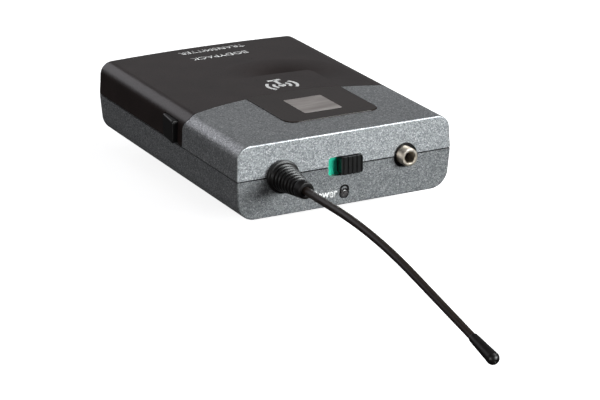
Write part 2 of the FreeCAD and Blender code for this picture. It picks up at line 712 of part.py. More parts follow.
def battery_tray():
    """Inner frame: a well for two cells, a deck for the buttons and an apron under the front shell."""
    y0 = from_face(TRAY_NEAR)
    y1 = from_face(TRAY_FAR)
    frame = block(-TRAY_SIDE, TRAY_SIDE, y0, y1, WALL + 0.1, TRAY_TOP)
    apron = block(-TRAY_SIDE, TRAY_SIDE, from_face(33), y0 + 1, TRAY_TOP - DECK_THICK, TRAY_TOP - 0.8)
    ears = []
    for x, y in TRAY_SCREWS:
        inner, outer = sorted((math.copysign(TRAY_SIDE - 0.5, x), x + math.copysign(2.2, x)))
        ears.append(block(inner, outer, y - 2.2, y + 2.2, 10.0, 11.4))
    tray = joined(frame, apron, *ears)
    well_left = CELL_X[0] - CELL_R - 0.35
    well_right = CELL_X[1] + CELL_R + 0.35
    cuts = [block(well_left, well_right, y0 + TRAY_WALL, y1 - TRAY_WALL,
                  CELL_Z - CELL_R - 0.1, TRAY_TOP + 1)]
    cuts.append(block(DECK_LEFT + 1.1, TRAY_SIDE - TRAY_WALL, y0 + TRAY_WALL, y1 - TRAY_WALL,
                      0, TRAY_TOP - DECK_THICK))
    cuts.append(block(4.2, 28.4, y0 - 1, y0 + TRAY_WALL + 1, 0, 13.6))
    for x, y in HOUSING_SCREWS:
        cuts.append(rod(BOSS_R + 0.3, (x, y, 0), (x, y, DEPTH)))
    for x, y in TRAY_SCREWS:
        cuts.append(rod(PILOT_R + 0.1, (x, y, 0), (x, y, DEPTH)))
    for near in (POWER_NEAR, SET_NEAR):
        y = from_face(near)
        cuts.append(rod(BUTTON_R + BUTTON_PLAY, (BUTTON_X, y, 5), (BUTTON_X, y, DEPTH)))
    half_x = ROCKER_WIDTH / 2 + 0.3
    half_y = ROCKER_LENGTH / 2 + 0.4
    centre = from_face(ROCKER_CENTRE)
    cuts.append(block(ROCKER_X - half_x, ROCKER_X + half_x, centre - half_y, centre + half_y, 5, DEPTH))
    cuts.append(rod(0.75, (ROCKER_X - 6.2, centre, ROCKER_AXIS_Z), (ROCKER_X + 6.2, centre, ROCKER_AXIS_Z)))
    finger = rod(6.0, (-14, from_face(80), TRAY_TOP + 3.2), (8, from_face(80), TRAY_TOP + 3.2))
    cuts.append(finger.common(block(DECK_LEFT - 2, DECK_LEFT + 1.5, -BIG, BIG, 0, BIG)))
    return tray.cut(cuts)


def aa_cell(x, nub_far):
    """AA cell lying along Y, with its nub at one end."""
    near = from_face(TRAY_NEAR) + TRAY_WALL + (2.0 if nub_far else 0.5)
    body = Part.makeCylinder(CELL_R - 0.05, CELL_LENGTH - 1.0, V(x, near, CELL_Z), Y_AXIS)
    body = body.makeFillet(0.5, [edge for edge in body.Edges if isinstance(edge.Curve, Part.Circle)])
    nub = Part.makeCylinder(2.7, 1.5, V(x, near + CELL_LENGTH - 1.5, CELL_Z), Y_AXIS)
    cell = body.fuse(nub)
    if not nub_far:
        cell = cell.mirror(V(0, near + CELL_LENGTH / 2, 0), Y_AXIS)
    return cell


def battery_springs():
    """Negative contacts: a plate with a bowed leaf that presses on the cell."""
    springs = []
    for x, far_end in ((CELL_X[0], True), (CELL_X[1], False)):
        wall_y = from_face(TRAY_FAR) - TRAY_WALL if far_end else from_face(TRAY_NEAR) + TRAY_WALL
        inward = -1 if far_end else 1
        low, high = sorted((wall_y, wall_y + inward * 0.35))
        plate = block(x - 4, x + 4, low, high, CELL_Z - 4, CELL_Z + 4)
        foot = V(x - 3.4, wall_y + inward * 0.3, CELL_Z - 1.5)
        crown = V(x, wall_y + inward * 1.85, CELL_Z - 1.5)
        head = V(x + 3.4, wall_y + inward * 0.3, CELL_Z - 1.5)
        lift = V(0, -inward * 0.3, 0)
        outer = Part.Arc(foot, crown, head).toShape()
        inner = Part.Arc(foot + lift, crown + lift, head + lift).toShape()
        caps = [Part.makeLine(foot, foot + lift), Part.makeLine(head, head + lift)]
        outline = Part.Wire([outer, caps[1], inner, caps[0]])
        leaf = Part.Face(outline).extrude(Z_AXIS * 3.0)
        springs.append(plate.fuse(leaf).removeSplitter())
    return group(springs)


def battery_plates():
    """Positive contacts: flat plates with a raised dimple."""
    plates = []
    for x, far_end in ((CELL_X[0], False), (CELL_X[1], True)):
        wall_y = from_face(TRAY_FAR) - TRAY_WALL if far_end else from_face(TRAY_NEAR) + TRAY_WALL
        inward = -1 if far_end else 1
        low, high = sorted((wall_y, wall_y + inward * 0.3))
        plates.append(block(x - 4, x + 4, low, high, CELL_Z - 4, CELL_Z + 4))
    return group(plates)


def round_button(near):
    """Button cap with a flange under the deck."""
    y = from_face(near)
    deck_low = TRAY_TOP - DECK_THICK
    cap = rod(BUTTON_R, (BUTTON_X, y, deck_low - 0.6), (BUTTON_X, y, TRAY_TOP + BUTTON_OUT))
    crown = [edge for edge in cap.Edges if abs(edge.CenterOfMass.z - TRAY_TOP - BUTTON_OUT) < 0.01]
    cap = cap.makeFillet(0.5, crown)
    flange = rod(BUTTON_R + 0.9, (BUTTON_X, y, deck_low - 1.1), (BUTTON_X, y, deck_low - 0.15))
    return cap.fuse(flange).removeSplitter()


def rocker():
    """Two-way key that tips on a cross pin, with a foot over each push switch."""
    centre = from_face(ROCKER_CENTRE)
    half_x = ROCKER_WIDTH / 2
    half_y = ROCKER_LENGTH / 2
    deck_low = TRAY_TOP - DECK_THICK
    key = rounded_block(ROCKER_X - half_x, ROCKER_X + half_x, centre - half_y, centre + half_y,
                        deck_low, TRAY_TOP + BUTTON_OUT, 2.0, Z_AXIS)
    dish_r = 40.0
    dish_z = TRAY_TOP + BUTTON_OUT + dish_r - 0.4
    dish = rod(dish_r, (ROCKER_X - 10, centre, dish_z), (ROCKER_X + 10, centre, dish_z))
    pin_half = half_x + 1.8
    ends = [(ROCKER_X + sign * pin_half, centre, ROCKER_AXIS_Z) for sign in (-1, 1)]
    pins = rod(0.7, *ends)
    feet = []
    for sign in (-1, 1):
        y = centre + sign * ROCKER_FOOT
        feet.append(rod(1.2, (ROCKER_X, y, deck_low - 1.1), (ROCKER_X, y, deck_low + 0.5)))
    return joined(key.cut(dish), pins, *feet)


# --- connector end ------------------------------------------------------------------------

def whip_point(distance):
    """Point on the antenna's centre line at a distance out from the connector end, and its slope."""
    drop_r = WHIP_ARC / math.sin(WHIP_DROOP)
    run = distance - WHIP_STRAIGHT
    if run <= 0:
        slope = 0.0
        drop = 0.0
    elif run < WHIP_ARC:
        slope = math.asin(run / drop_r)
        drop = drop_r * (1 - math.cos(slope))
    else:
        slope = WHIP_DROOP
        drop = drop_r * (1 - math.cos(slope)) + (run - WHIP_ARC) * math.tan(slope)
    return V(ANTENNA_X, FACE_Y - distance, PORT_Z - drop), slope


def whip_section(distance, radius):
    """Circle square to the centre line."""
    centre, slope = whip_point(distance)
    ahead = V(0, -math.cos(slope), -math.sin(slope))
    return Part.Wire(Part.makeCircle(radius, centre, ahead))


def along_whip(start, end, radius_start, radius_end, steps):
    """Smooth tapered solid that follows the antenna's centre line."""
    sections = []
    for step in range(steps + 1):
        share = step / steps
        sections.append(whip_section(start + (end - start) * share,
                                     radius_start + (radius_end - radius_start) * share))
    return Part.makeLoft(sections, True, False)


def antenna_boot():
    """Rubber boot: base disc, ribbed cone, plain collar, and a neck held behind the wall."""
    disc_y = FACE_Y - BOOT_DISC_THICK
    end_y = FACE_Y - BOOT_LENGTH
    cone_y = disc_y - 0.9
    rib_end = cone_y - BOOT_RIBS * BOOT_RIB_PITCH
    inside = from_face(INSIDE)
    well_y = FACE_Y - WHIP_START + 0.2

    def cone_r(y):
        return BOOT_BASE_R + (BOOT_END_R - BOOT_BASE_R) * (cone_y - y) / (cone_y - end_y)

    profile = [(2.3, inside + 1.3), (4.6, inside + 1.3), (4.6, inside), (3.4, inside), (3.4, FACE_Y),
               (BOOT_DISC_R, FACE_Y), (BOOT_DISC_R, disc_y + 0.3), (BOOT_DISC_R - 0.3, disc_y),
               (BOOT_BASE_R + 0.1, disc_y), (BOOT_BASE_R, cone_y)]
    for rib in range(BOOT_RIBS):
        y = cone_y - rib * BOOT_RIB_PITCH
        valley_y = y - BOOT_RIB_PITCH * 0.5
        next_y = y - BOOT_RIB_PITCH
        profile.append((cone_r(y) - BOOT_RIB_DEPTH, y - 0.15))
        profile.append((cone_r(valley_y) - BOOT_RIB_DEPTH, valley_y))
        profile.append((cone_r(valley_y), valley_y - 0.15))
        profile.append((cone_r(next_y), next_y))
    profile += [(cone_r(rib_end) + 0.1, rib_end - 0.5), (BOOT_END_R, end_y + 0.6),
                (BOOT_END_R - 0.5, end_y), (WHIP_R_BOOT + 0.1, end_y), (WHIP_R_BOOT + 0.1, well_y),
                (2.3, well_y)]
    boot = turned(profile)
    boot.translate(V(ANTENNA_X, 0, PORT_Z))
    return boot


def antenna_ferrule():
    """Crimped metal sleeve that joins the whip to the board's contact."""
    start = FACE_Y - FERRULE_OUT
    end = from_face(WALL + 3.4)
    sleeve = rod(2.2, (ANTENNA_X, start, PORT_Z), (ANTENNA_X, end, PORT_Z))
    collar = rod(3.2, (ANTENNA_X, end - 1.6, PORT_Z), (ANTENNA_X, end - 0.8, PORT_Z))
    return sleeve.fuse(collar).removeSplitter()


def antenna_contact():
    """Bent leaf on the board that presses on the ferrule's end."""
    y0 = from_face(WALL + 3.5)
    upright = block(ANTENNA_X - 1.6, ANTENNA_X + 1.6, y0, y0 + 0.3, BOARD_TOP, PORT_Z + 1.8)
    foot = block(ANTENNA_X - 1.6, ANTENNA_X + 1.6, y0, y0 + 3.2, BOARD_TOP, BOARD_TOP + 0.3)
    return upright.fuse(foot).removeSplitter()


def antenna_whip():
    """Jacket of the whip, with a bore for its core wire."""
    jacket = along_whip(WHIP_START, TIP_START + 2.0, WHIP_R_BOOT, WHIP_R_TIP, WHIP_STEPS)
    return jacket.cut(antenna_core())


def antenna_core():
    return along_whip(WHIP_START + 0.5, TIP_START + 1.5, CORE_R, CORE_R, WHIP_STEPS)


def antenna_tip():
    """Drop-shaped cap with a round end."""
    centre, slope = whip_point(TIP_START)
    straight = TIP_LENGTH - TIP_R_END
    profile = [V(0, 0, 0), V(TIP_R_NECK - 0.25, 0, 0), V(TIP_R_NECK, -0.35, 0), V(TIP_R_END, -straight, 0)]
    end = V(0, -TIP_LENGTH, 0)
    corner = V(TIP_R_END * math.sin(math.pi / 4), -straight - TIP_R_END * math.cos(math.pi / 4), 0)
    edges = [Part.makeLine(first, second) for first, second in zip(profile, profile[1:])]
    edges.append(Part.Arc(profile[-1], corner, end).toShape())
    edges.append(Part.makeLine(end, profile[0]))
    cap = Part.Face(Part.Wire(edges)).revolve(V(0, 0, 0), Y_AXIS, 360)
    cap.rotate(V(0, 0, 0), X_AXIS, math.degrees(slope))
    cap.translate(centre)
    return cap.cut(along_whip(TIP_START - 3, TIP_START + 2.05, WHIP_R_TIP + 0.15, WHIP_R_TIP + 0.02, 3))


def jack_bushing():
    """Threaded sleeve of the microphone jack, with a shoulder in the shells' recess."""
    mouth = FACE_Y - JACK_OUT
    shoulder = from_face(JACK_SHOULDER_IN)
    back = from_face(WALL + 0.4)
    end = from_face(JACK_STEM_IN)
    chamfer = 0.25
    flare = 0.5
    profile = [(JACK_BORE_R, mouth + flare), (JACK_BORE_R + flare, mouth), (JACK_THREAD_R - chamfer, mouth),
               (JACK_THREAD_R, mouth + chamfer), (JACK_THREAD_R, shoulder), (JACK_SHOULDER_R, shoulder),
               (JACK_SHOULDER_R, back), (JACK_STEM_R, back), (JACK_STEM_R, end), (JACK_BORE_R, end)]
    bushing = turned(profile)
    bushing.translate(V(JACK_X, 0, PORT_Z))
    return bushing


def jack_body():
    """Moulded body behind the bushing."""
    y0 = from_face(INSIDE)
    y1 = y0 + JACK_DEPTH
    body = rounded_block(JACK_X - 5, JACK_X + 5, y0, y1, BOARD_TOP, PORT_Z + 3.6, 0.6, Y_AXIS)
    socket = rod(JACK_STEM_R + 0.03, (JACK_X, y0 - 1, PORT_Z), (JACK_X, from_face(JACK_STEM_IN), PORT_Z))
    bore = rod(JACK_BORE_R, (JACK_X, y0, PORT_Z), (JACK_X, y1 - 1.2, PORT_Z))
    return body.cut([socket, bore])


def jack_contacts():
    """Three contact leaves beside the jack body, with their feet on the board."""
    contacts = []
    for sign, near in ((-1, 5.5), (1, 5.5), (1, 10.0)):
        low, high = sorted((JACK_X + sign * 5.05, JACK_X + sign * 5.35))
        foot_low, foot_high = sorted((JACK_X + sign * 5.05, JACK_X + sign * 6.8))
        upright = block(low, high, from_face(near), from_face(near + 2), BOARD_TOP, PORT_Z + 1.5)
        foot = block(foot_low, foot_high, from_face(near), from_face(near + 2), BOARD_TOP, BOARD_TOP + 0.3)
        contacts.append(upright.fuse(foot).removeSplitter())
    return group(contacts)


def mute_knob():
    """Ribbed thumb piece, with a tongue that drives the switch."""
    y_out = FACE_Y - KNOB_OUT
    y_in = from_face(INSIDE)
    half_z = SLOT_HEIGHT / 2 - 0.3
    knob = rounded_block(KNOB_LEFT, KNOB_LEFT + KNOB_WIDTH, y_out, y_in,
                         PORT_Z - half_z, PORT_Z + half_z, 0.9, Y_AXIS)
    pitch = (KNOB_WIDTH - 1.4) / KNOB_RIBS
    grooves = []
    for rib in range(KNOB_RIBS + 1):
        x = KNOB_LEFT + 0.7 + rib * pitch
        grooves.append(rod(0.38, (x, y_out - 0.05, PORT_Z - 5), (x, y_out - 0.05, PORT_Z + 5)))
    tongue = block(TONGUE_X - TONGUE_HALF, TONGUE_X + TONGUE_HALF, y_in - 0.5, y_in + 3.2,
                   PORT_Z - 0.7, PORT_Z + 0.7)
    return joined(knob.cut(grooves), tongue)


def mute_indicator():
    """Coloured plate behind the knob, with a slit for the tongue."""
    y0 = from_face(WALL + 0.6)
    plate = block(SLOT_X - 7.4, SLOT_X + 7.4, y0, y0 + 0.5, PORT_Z - 3.4, PORT_Z + 4.4)
    return plate.cut(tongue_room(y0 - 1, y0 + 2))


def tongue_room(y0, y1):
    """Slit that the knob's tongue slides in."""
    room = TONGUE_HALF + 0.2
    return block(TONGUE_X - KNOB_TRAVEL - room, TONGUE_X + room, y0, y1, PORT_Z - 0.9, PORT_Z + 0.9)


def mute_switch_body():
    y0 = from_face(WALL + 1.5)
    body = rounded_block(SLOT_X - 6, SLOT_X + 6, y0, y0 + 5, BOARD_TOP, PORT_Z + 2.6, 0.5, Z_AXIS)
    return body.cut(tongue_room(y0 - 1, y0 + 3.2))


def lamp_lens():
    """Light pipe from the board's underside to the connector end."""
    inner_y = from_face(6.5)
    level = rod(1.4, (LAMP_X, FACE_Y + 0.35, LAMP_Z), (LAMP_X, inner_y, LAMP_Z))
    front = [edge for edge in level.Edges if abs(edge.CenterOfMass.y - FACE_Y - 0.35) < 0.01]
    level = level.makeFillet(0.6, front)
    rise = rod(1.4, (LAMP_X, inner_y - 1.4, LAMP_Z), (LAMP_X, inner_y - 1.4, BOARD_Z - 0.75))
    return joined(level, rise)


def lamp_chip():
    """Power lamp on the board's underside."""
    y = from_face(5.1)
    return block(LAMP_X - 0.8, LAMP_X + 0.8, y - 0.8, y + 0.8, BOARD_Z - 0.6, BOARD_Z)


# --- belt clip ----------------------------------------------------------------------------

def belt_clip():
    """Sprung wire loop: two ends in the bearings, two legs, a pinch and a flared lip."""
    pivot_y = from_face(CLIP_PIVOT)
    pinch_z = -(CLIP_WIRE_R + 0.6)
    lip = CLIP_HALF - 5
    side = [
        (CLIP_HALF - 7.5, pivot_y, CLIP_PIVOT_Z),
        (CLIP_HALF, pivot_y, CLIP_PIVOT_Z),
        (CLIP_HALF, pivot_y + 12, CLIP_DROP),
        (CLIP_HALF, from_face(CLIP_END - 13), CLIP_DROP),
        (lip, from_face(CLIP_END - 5), pinch_z),
        (lip - 3, from_face(CLIP_END), CLIP_DROP + 1),
    ]
    other = [(-x, y, z) for x, y, z in reversed(side)]
    return bent_wire(side + other, 1.8, CLIP_WIRE_R)


# --- every piece --------------------------------------------------------------------------

PIECES = {
    "back_shell": back_shell,
    "front_shell": front_shell,
    "battery_cover": battery_cover,
    "hinge_pin": hinge_pin,
    "catch_right": catch_right,
    "catch_left": lambda: mirrored(catch_right()),
    "catch_spring_right": catch_spring_right,
    "catch_spring_left": lambda: mirrored(catch_spring_right()),
    "display_window": display_window,
    "display_glass": display_glass,
    "display_frame": display_frame,
    "display_cable": display_cable,
    "main_board": main_board,
    "board_chips": board_chips,
    "radio_shield": radio_shield,
    "housing_screws": housing_screws,
    "board_screws": board_screws,
    "tray_screws": tray_screws,
    "tact_switches": tact_switches,
    "battery_tray": battery_tray,
    "aa_cell_left": lambda: aa_cell(CELL_X[0], False),
    "aa_cell_right": lambda: aa_cell(CELL_X[1], True),
    "battery_springs": battery_springs,
    "battery_plates": battery_plates,
    "power_button": lambda: round_button(POWER_NEAR),
    "set_button": lambda: round_button(SET_NEAR),
    "rocker": rocker,
    "antenna_boot": antenna_boot,
    "antenna_ferrule": antenna_ferrule,
    "antenna_contact": antenna_contact,
    "antenna_whip": antenna_whip,
    "antenna_core": antenna_core,
    "antenna_tip": antenna_tip,
    "jack_bushing": jack_bushing,
    "jack_body": jack_body,
    "jack_contacts": jack_contacts,
    "mute_knob": mute_knob,
    "mute_indicator": mute_indicator,
    "mute_switch_body": mute_switch_body,
    "lamp_lens": lamp_lens,
    "lamp_chip": lamp_chip,
    "belt_clip": belt_clip,
}

os.makedirs("parts", exist_ok=True)
for name, make in PIECES.items():
    shape = make()
    shape.exportStep("parts/" + name + ".step")
    print(name, "solids", len(shape.Solids), "volume", round(shape.Volume, 2), "valid", shape.isValid())
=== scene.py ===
import json
import math

import bmesh
import bpy
from mathutils import Matrix, Vector


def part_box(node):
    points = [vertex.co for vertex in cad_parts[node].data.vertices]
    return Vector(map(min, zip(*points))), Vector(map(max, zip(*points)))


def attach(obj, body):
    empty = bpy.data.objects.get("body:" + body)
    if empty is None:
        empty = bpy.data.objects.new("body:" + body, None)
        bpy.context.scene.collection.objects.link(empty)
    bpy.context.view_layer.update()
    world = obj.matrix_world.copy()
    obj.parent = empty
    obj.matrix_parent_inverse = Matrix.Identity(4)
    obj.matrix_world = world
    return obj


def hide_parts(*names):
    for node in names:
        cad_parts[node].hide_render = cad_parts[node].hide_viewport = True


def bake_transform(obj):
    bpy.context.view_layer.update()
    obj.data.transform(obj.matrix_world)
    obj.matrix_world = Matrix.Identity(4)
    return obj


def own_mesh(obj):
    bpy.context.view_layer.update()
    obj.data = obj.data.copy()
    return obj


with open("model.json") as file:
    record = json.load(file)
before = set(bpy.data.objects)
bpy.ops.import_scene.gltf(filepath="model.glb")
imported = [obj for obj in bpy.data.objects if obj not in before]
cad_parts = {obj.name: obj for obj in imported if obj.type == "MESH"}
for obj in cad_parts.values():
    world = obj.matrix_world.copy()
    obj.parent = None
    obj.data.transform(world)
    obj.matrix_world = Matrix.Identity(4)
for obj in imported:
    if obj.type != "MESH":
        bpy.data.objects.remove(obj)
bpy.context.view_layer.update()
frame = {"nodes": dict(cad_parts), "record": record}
nodes = frame["nodes"]
scene = bpy.context.scene

MM = 0.001


def centre_of(node):
    low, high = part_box(node)
    return (low + high) / 2


# --- places, read from the frame -----------------------------------------------------------

FACE_Y = round(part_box("back_shell")[0].y, 4)        # connector end
FRONT_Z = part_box("battery_cover")[1].z              # front of the pack
WINDOW_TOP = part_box("display_window")[1].z
PORT_Z = centre_of("jack_bushing").z                # the seam's height
ANTENNA_X = centre_of("antenna_boot").x
JACK_X = centre_of("jack_bushing").x
LAMP = centre_of("lamp_lens")
FLOOR_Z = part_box("belt_clip")[0].z


def from_face(distance_mm):
    """Y of a point that lies this many millimetres in from the connector end."""
    return FACE_Y + distance_mm * MM


# --- materials -----------------------------------------------------------------------------

class Finish:
    """A material, with short names for the few nodes that the finishes are made of."""

    def __init__(self, name, **values):
        self.material = bpy.data.materials.new(name)
        self.material.use_nodes = True
        self.tree = self.material.node_tree
        self.shader = self.tree.nodes["Principled BSDF"]
        self.place = self.node("ShaderNodeTexCoord").outputs["Object"]
        for socket, value in values.items():
            if isinstance(value, tuple):
                value = (*value, 1.0)
            self.shader.inputs[socket.replace("_", " ")].default_value = value

    def node(self, kind, **settings):
        made = self.tree.nodes.new(kind)
        for key, value in settings.items():
            setattr(made, key, value)
        return made

    def link(self, output, target):
        self.tree.links.new(output, target)

    def stretched(self, scale):
        """The piece's own coordinates, scaled unevenly."""
        made = self.node("ShaderNodeMapping")
        made.inputs["Scale"].default_value = scale
        self.link(self.place, made.inputs["Vector"])
        return made.outputs["Vector"]

    def noise(self, scale, detail=2.0, rough=0.5, place=None):
        made = self.node("ShaderNodeTexNoise")
        made.inputs["Scale"].default_value = scale
        made.inputs["Detail"].default_value = detail
        made.inputs["Roughness"].default_value = rough
        self.link(place or self.place, made.inputs["Vector"])
        return made.outputs["Fac"]

    def cells(self, scale):
        """One random grey for each cell."""
        made = self.node("ShaderNodeTexVoronoi")
        made.inputs["Scale"].default_value = scale
        self.link(self.place, made.inputs["Vector"])
        split = self.node("ShaderNodeSeparateColor")
        self.link(made.outputs["Color"], split.inputs["Color"])
        return split.outputs["Red"]

    def ramp(self, value, stops, interpolation="LINEAR"):
        made = self.node("ShaderNodeValToRGB")
        made.color_ramp.interpolation = interpolation
        points = made.color_ramp.elements
        while len(points) < len(stops):
            points.new(0.5)
        for point, (position, colour) in zip(points, stops):
            point.position = position
            point.color = (*colour, 1.0) if isinstance(colour, tuple) else (colour, colour, colour, 1.0)
        self.link(value, made.inputs["Fac"])
        return made.outputs["Color"]

    def mix(self, factor, first, second):
        made = self.node("ShaderNodeMix", data_type="RGBA")
        for value, index in ((factor, 0), (first, 6), (second, 7)):
            if hasattr(value, "links"):
                self.link(value, made.inputs[index])
            elif isinstance(value, tuple):
                made.inputs[index].default_value = (*value, 1.0)
            else:
                made.inputs[index].default_value = value
        return made.outputs[2]

    def maths(self, operation, *values):
        made = self.node("ShaderNodeMath", operation=operation)
        for index, value in enumerate(values):
            if hasattr(value, "links"):
                self.link(value, made.inputs[index])
            else:
                made.inputs[index].default_value = value
        return made.outputs[0]

    def colour(self, output):
        self.link(output, self.shader.inputs["Base Color"])
        return self

    def roughness(self, value, low, high):
        """Roughness that runs from low to high as value does from 0 to 1."""
        made = self.node("ShaderNodeMapRange")
        made.inputs["To Min"].default_value = low
        made.inputs["To Max"].default_value = high
        self.link(value, made.inputs["Value"])
        self.link(made.outputs["Result"], self.shader.inputs["Roughness"])
        return self

    def bump(self, height, distance, strength):
        """Relief of this many metres; a second call adds to the first."""
        made = self.node("ShaderNodeBump")
        made.inputs["Strength"].default_value = strength
        made.inputs["Distance"].default_value = distance
        self.link(height, made.inputs["Height"])
        before = self.shader.inputs["Normal"].links
        if before:
            self.link(before[0].from_socket, made.inputs["Normal"])
        self.link(made.outputs["Normal"], self.shader.inputs["Normal"])
        return self


def moulded(name, dark, light, rough, grain=2600):
    """Moulded plastic with a spark-eroded grain and slight clouding."""
    made = Finish(name)
    cloud = made.noise(90, 4, 0.6)
    fine = made.noise(grain, 3, 0.6)
    shade = made.ramp(made.mix(0.35, cloud, fine), [(0.3, dark), (0.7, light)])
    return made.colour(shade).roughness(fine, rough - 0.07, rough + 0.09).bump(fine, 0.00002, 0.6)


def flake_paint(name):
    """Grey metallic paint: each flake lies at its own angle and so has its own brightness."""
    made = Finish(name, Metallic=0.72, Specular_IOR_Level=0.5)
    flakes = made.cells(3300)
    speckle = made.cells(6400)
    cloud = made.noise(60, 3, 0.55)
    tone = made.ramp(flakes, [(0.0, (0.13, 0.135, 0.145)), (0.5, (0.38, 0.392, 0.405)),
                              (0.88, (0.64, 0.66, 0.67)), (1.0, (1.0, 1.0, 1.0))])
    tone = made.mix(0.25, tone, made.ramp(speckle, [(0.0, (0.19, 0.197, 0.21)), (1.0, (0.66, 0.675, 0.69))]))
    tone = made.mix(0.16, tone, made.ramp(cloud, [(0.3, (0.24, 0.255, 0.27)), (0.7, (0.46, 0.48, 0.495))]))
    made.colour(tone).roughness(speckle, 0.34, 0.5)
    return made.bump(flakes, 0.000018, 0.6).bump(made.noise(1500, 2), 0.000012, 0.4)


def metal(name, dark, light, rough, stretch):
    """Metal with fine lines, which run along the axes where stretch is smallest."""
    made = Finish(name, Metallic=1.0)
    lines = made.noise(1.0, 3, 0.6, made.stretched(stretch))
    stain = made.noise(420, 4, 0.6)
    shade = made.ramp(made.mix(0.5, lines, stain), [(0.3, dark), (0.7, light)])
    return made.colour(shade).roughness(lines, rough * 0.7, rough * 1.4).bump(lines, 0.000003, 0.6)


def rubber(name, dark, light, rough):
    """Matt rubber with a very fine grain and a little dust."""
    made = Finish(name, Specular_IOR_Level=0.45)
    fine = made.noise(5200, 3, 0.6)
    dust = made.noise(700, 5, 0.7)
    shade = made.ramp(made.mix(0.3, dust, fine), [(0.35, dark), (0.72, light)])
    return made.colour(shade).roughness(dust, rough - 0.06, rough + 0.1).bump(fine, 0.00001, 0.5)


def smoked(name, dark, light, rough, **values):
    """Polished dark plastic with the faint waviness of a moulding and a few hairline scuffs."""
    made = Finish(name, **values)
    wave = made.noise(45, 2, 0.4)
    hair = made.noise(1.0, 2, 0.5, made.stretched((2600, 160, 900)))
    shade = made.ramp(wave, [(0.3, dark), (0.7, light)])
    return made.colour(shade).roughness(hair, rough * 0.6, rough * 1.6).bump(wave, 0.00003, 0.3)


def liquid_crystal(name):
    """Switched-off display: warm grey, paler bands, and the fine rows of the pixel grid."""
    made = Finish(name, Coat_Weight=1.0, Coat_Roughness=0.08, Specular_IOR_Level=0.5)
    bands = made.noise(1.0, 3, 0.55, made.stretched((55, 420, 1)))
    rows = made.node("ShaderNodeTexWave", bands_direction="Y")
    rows.inputs["Scale"].default_value = 620
    made.link(made.place, rows.inputs["Vector"])
    columns = made.node("ShaderNodeTexWave", bands_direction="X")
    columns.inputs["Scale"].default_value = 620
    made.link(made.place, columns.inputs["Vector"])
    shade = made.ramp(bands, [(0.34, (0.24, 0.20, 0.18)), (0.52, (0.38, 0.33, 0.305)),
                              (0.66, (0.55, 0.50, 0.47))])
    grid = made.mix(0.5, rows.outputs["Fac"], columns.outputs["Fac"])
    shade = made.mix(0.22, shade, made.ramp(grid, [(0.0, 0.09), (1.0, 0.34)]))
    return made.colour(shade).roughness(bands, 0.25, 0.4)


def printed(name, colour, dull):
    """Screen-printed ink, a little thin in places."""
    made = Finish(name, Specular_IOR_Level=0.35)
    ink = made.noise(5200, 4, 0.7)
    return made.colour(made.ramp(ink, [(0.25, dull), (0.45, colour)])).roughness(ink, 0.45, 0.62)


def board(name):
    """Solder mask over copper: tracks a shade lighter than the ground, and tinned pads."""
    made = Finish(name, Specular_IOR_Level=0.5)
    tracks = made.node("ShaderNodeTexBrick", offset=0.37, squash=1.0)
    tracks.inputs["Scale"].default_value = 480
    tracks.inputs["Mortar Size"].default_value = 0.045
    tracks.inputs["Color1"].default_value = (0.0, 0.0, 0.0, 1.0)
    tracks.inputs["Color2"].default_value = (0.25, 0.25, 0.25, 1.0)
    tracks.inputs["Mortar"].default_value = (1.0, 1.0, 1.0, 1.0)
    made.link(made.place, tracks.inputs["Vector"])
    shade = made.mix(tracks.outputs["Color"], (0.012, 0.105, 0.045), (0.035, 0.21, 0.095))
    vias = made.node("ShaderNodeTexVoronoi")
    vias.inputs["Scale"].default_value = 330
    made.link(made.place, vias.inputs["Vector"])
    pads = made.ramp(vias.outputs["Distance"], [(0.10, 1.0), (0.13, 0.0)])
    shade = made.mix(pads, shade, (0.52, 0.5, 0.42))
    made.colour(shade).roughness(made.noise(900, 3), 0.25, 0.45)
    return made.bump(tracks.outputs["Fac"], 0.00002, 0.5)


def sleeve(name):
    """Printed shrink sleeve of a cell: dark blue, with a copper band at the far end."""
    made = Finish(name, Metallic=0.55, Coat_Weight=0.6, Coat_Roughness=0.15)
    split = made.node("ShaderNodeSeparateXYZ")
    made.link(made.place, split.inputs["Vector"])
    low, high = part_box("aa_cell_left")
    share = made.maths("DIVIDE", made.maths("SUBTRACT", split.outputs["Y"], low.y), high.y - low.y)
    bands = made.ramp(share, [(0.0, (0.035, 0.06, 0.12)), (0.7, (0.028, 0.05, 0.1)),
                              (0.71, (0.72, 0.74, 0.76)), (0.725, (0.50, 0.23, 0.08))], "CONSTANT")
    wear = made.ramp(made.noise(1400, 4), [(0.3, 0.02), (0.7, 0.3)])
    return made.colour(made.mix(0.12, bands, wear)).roughness(made.noise(300, 4), 0.2, 0.42)


def lens(name):
    """Smoked clear plastic, slightly hazy."""
    made = Finish(name, Transmission_Weight=0.35, Coat_Weight=1.0, Coat_Roughness=0.03, IOR=1.49)
    haze = made.noise(900, 3, 0.6)
    shade = made.ramp(haze, [(0.3, (0.05, 0.045, 0.045)), (0.7, (0.16, 0.15, 0.15))])
    return made.colour(shade).roughness(haze, 0.08, 0.25)


def film(name):
    """Flat cable: amber film with copper tracks along it."""
    made = Finish(name, Coat_Weight=0.4, Coat_Roughness=0.2)
    tracks = made.node("ShaderNodeTexWave", bands_direction="X")
    tracks.inputs["Scale"].default_value = 520
    made.link(made.place, tracks.inputs["Vector"])
    shade = made.ramp(tracks.outputs["Fac"], [(0.35, (0.30, 0.12, 0.02)), (0.6, (0.62, 0.33, 0.10))])
    return made.colour(shade).roughness(made.noise(800, 3), 0.25, 0.4)


